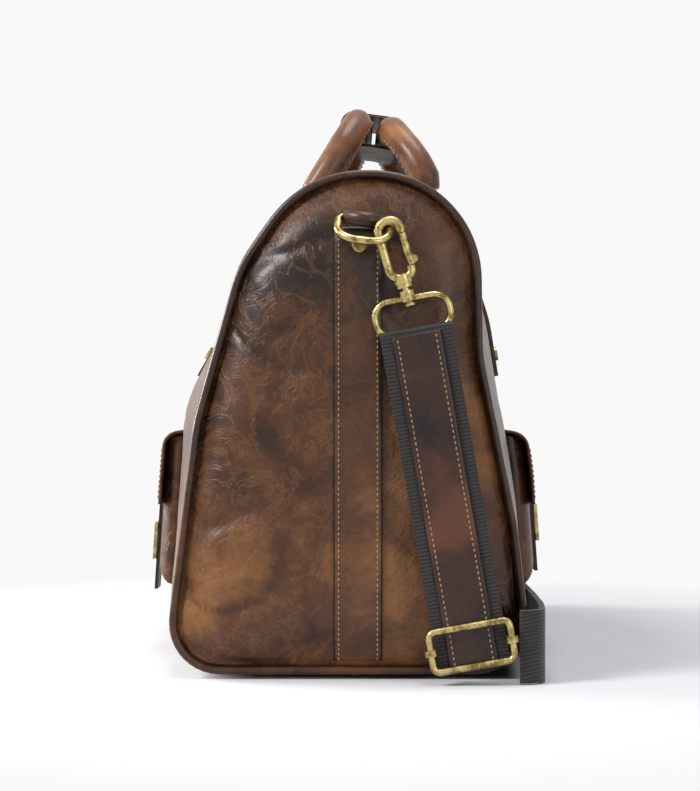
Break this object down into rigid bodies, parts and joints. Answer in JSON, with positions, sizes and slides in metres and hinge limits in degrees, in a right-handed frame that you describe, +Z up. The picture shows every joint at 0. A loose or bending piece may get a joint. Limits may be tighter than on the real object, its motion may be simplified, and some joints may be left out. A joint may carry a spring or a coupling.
{
  "type": "duffel bag",
  "caption": "Leather duffel bag with puffed piped ends, rolled handles joined by a wrap, flapped side pockets and a clip-on shoulder strap with a slide buckle.",
  "frame": {"origin": "underside of the middle base foot, where the bag rests", "axes": "+X along the bag towards the end with the slide buckle, +Y towards the back side where the loose strap lies, +Z up"},
  "size_m": [0.5347, 0.2548, 0.3599],
  "materials": {
    "bag_leather": "glossy pull-up leather",
    "piping_leather": "glossy rolled leather",
    "strap_leather": "smooth dark bridle leather",
    "patch_leather": "glossy leather",
    "handle_leather": "worn rolled leather",
    "wrap_leather": "black leather",
    "webbing": "ribbed cotton webbing",
    "lining_cloth": "plain cotton lining",
    "zip_tape": "woven tape",
    "board": "fibreboard",
    "brass": "antique brass",
    "zip_brass": "antique brass"
  },
  "bodies": {
    "bag": {"base_panel": "bag_leather", "front_panel": "bag_leather", "back_panel": "bag_leather", "end_panel_right": "bag_leather", "end_panel_left": "bag_leather", "zip_end_right": "bag_leather", "zip_end_left": "bag_leather", "pocket_front": "bag_leather", "pocket_back": "bag_leather", "end_piping_right": "piping_leather", "end_piping_left": "piping_leather", "end_strap_right": "strap_leather", "end_rivet_right": "brass", "zip_chain_end_right": "zip_brass", "end_strap_left": "strap_leather", "end_rivet_left": "brass", "zip_chain_end_left": "zip_brass", "handle_patches_front": "patch_leather", "patch_rivets_front": "brass", "handle_patches_back": "patch_leather", "patch_rivets_back": "brass", "lining": "lining_cloth", "base_board": "board", "base_feet": "brass", "strap_side_run": "webbing"},
    "mouth_front": {"mouth_strip_front": "bag_leather", "zip_tape_front": "zip_tape", "zip_teeth_front": "zip_brass"},
    "flap_front": {"pocket_flap_front": "bag_leather", "closing_straps_front": "strap_leather", "closing_buckles_front": "brass"},
    "mouth_back": {"mouth_strip_back": "bag_leather", "zip_tape_back": "zip_tape", "zip_teeth_back": "zip_brass"},
    "flap_back": {"pocket_flap_back": "bag_leather", "closing_straps_back": "strap_leather", "closing_buckles_back": "brass"},
    "zip_slider": {"zip_slider": "zip_brass"},
    "zip_pull": {"zip_pull": "zip_brass"},
    "handle_front": {"handle_front": "handle_leather"},
    "handle_back": {"handle_back": "handle_leather", "handle_wrap": "wrap_leather", "wrap_snap": "brass"},
    "d_ring_right": {"d_ring_right": "brass"},
    "strap_right": {"swivel_loop_right": "brass", "strap_webbing_right": "webbing", "strap_leather_right": "strap_leather"},
    "hook_right": {"hook_right": "brass"},
    "gate_right": {"hook_gate_right": "brass"},
    "d_ring_left": {"d_ring_left": "brass"},
    "strap_left": {"swivel_loop_left": "brass", "strap_webbing_left": "webbing", "strap_leather_left": "strap_leather"},
    "hook_left": {"hook_left": "brass"},
    "gate_left": {"hook_gate_left": "brass"},
    "slide_buckle": {"slide_buckle": "brass"},
    "buckle_bar": {"slide_buckle_bar": "brass"}
  },
  "joints": [
    {"name": "mouth_front_fold", "type": "hinge", "parent": "bag", "child": "mouth_front", "pos_m": [0, 0.002, 0.2946], "axis": [1, 0, 0], "range_deg": [-65, 0]},
    {"name": "mouth_back_fold", "type": "hinge", "parent": "bag", "child": "mouth_back", "pos_m": [0, 0.038, 0.2946], "axis": [1, 0, 0], "range_deg": [0, 65]},
    {"name": "handle_front_swing", "type": "hinge", "parent": "bag", "child": "handle_front", "pos_m": [0, -0.026, 0.295], "axis": [1, 0, 0], "range_deg": [0, 145], "deforming": ["handle_wrap"]},
    {"name": "handle_back_swing", "type": "hinge", "parent": "bag", "child": "handle_back", "pos_m": [0, 0.0516, 0.3033], "axis": [1, 0, 0], "range_deg": [-135, 0], "deforming": ["handle_wrap"]},
    {"name": "flap_front_lift", "type": "hinge", "parent": "bag", "child": "flap_front", "pos_m": [0, -0.10551, 0.1458], "axis": [1, 0, 0], "range_deg": [-75, 0]},
    {"name": "flap_back_lift", "type": "hinge", "parent": "bag", "child": "flap_back", "pos_m": [0, 0.09828, 0.1458], "axis": [1, 0, 0], "range_deg": [0, 75]},
    {"name": "zip_run", "type": "slide", "parent": "bag", "child": "zip_slider", "axis": [1, 0, 0], "range_m": [-0.398, 0]},
    {"name": "zip_pull_swing", "type": "hinge", "parent": "zip_slider", "child": "zip_pull", "pos_m": [0.1994, 0.02, 0.2998], "axis": [0, 1, 0], "range_deg": [0, 150]},
    {"name": "d_ring_swing_right", "type": "hinge", "parent": "bag", "child": "d_ring_right", "pos_m": [0.2477, 0.0087, 0.269], "axis": [0, -0.9925, 0.1219], "range_deg": [0, 12]},
    {"name": "strap_swing_right", "type": "hinge", "parent": "bag", "child": "strap_right", "pos_m": [0.2477, 0.0087, 0.269], "axis": [0, -0.9925, 0.1219], "range_deg": [0, 12]},
    {"name": "hook_swivel_right", "type": "hinge", "parent": "strap_right", "child": "hook_right", "pos_m": [0.25558, 0.02284, 0.26106], "axis": [0, -0.2672, 0.9636], "range_deg": [-12, 12]},
    {"name": "gate_press_right", "type": "hinge", "parent": "hook_right", "child": "gate_right", "pos_m": [0.25558, 0.03608, 0.2425], "axis": [1, 0, 0], "range_deg": [0, 5], "stiffness_Nm_per_rad": 0.02},
    {"name": "d_ring_swing_left", "type": "hinge", "parent": "bag", "child": "d_ring_left", "pos_m": [-0.2477, 0.0087, 0.269], "axis": [0, 0.9925, -0.1219], "range_deg": [0, 12]},
    {"name": "strap_swing_left", "type": "hinge", "parent": "bag", "child": "strap_left", "pos_m": [-0.2477, 0.0087, 0.269], "axis": [0, 0.9925, -0.1219], "range_deg": [0, 12]},
    {"name": "hook_swivel_left", "type": "hinge", "parent": "strap_left", "child": "hook_left", "pos_m": [-0.25558, 0.02284, 0.26106], "axis": [0, -0.2672, 0.9636], "range_deg": [-12, 12]},
    {"name": "gate_press_left", "type": "hinge", "parent": "hook_left", "child": "gate_left", "pos_m": [-0.25558, 0.03608, 0.2425], "axis": [-1, 0, 0], "range_deg": [0, 5], "stiffness_Nm_per_rad": 0.02},
    {"name": "buckle_adjust", "type": "slide", "parent": "strap_right", "child": "slide_buckle", "axis": [0, -0.1736, 0.9848], "range_m": [0, 0.1]},
    {"name": "buckle_bar_play", "type": "slide", "parent": "slide_buckle", "child": "buckle_bar", "axis": [0, -0.1736, 0.9848], "range_m": [-0.004, 0.004]}
  ],
  "couplings": [
    {"joint": "mouth_back_fold", "follows": "mouth_front_fold", "ratio": -1},
    {"joint": "strap_swing_right", "follows": "d_ring_swing_right", "ratio": 1},
    {"joint": "strap_swing_left", "follows": "d_ring_swing_left", "ratio": 1}
  ]
}
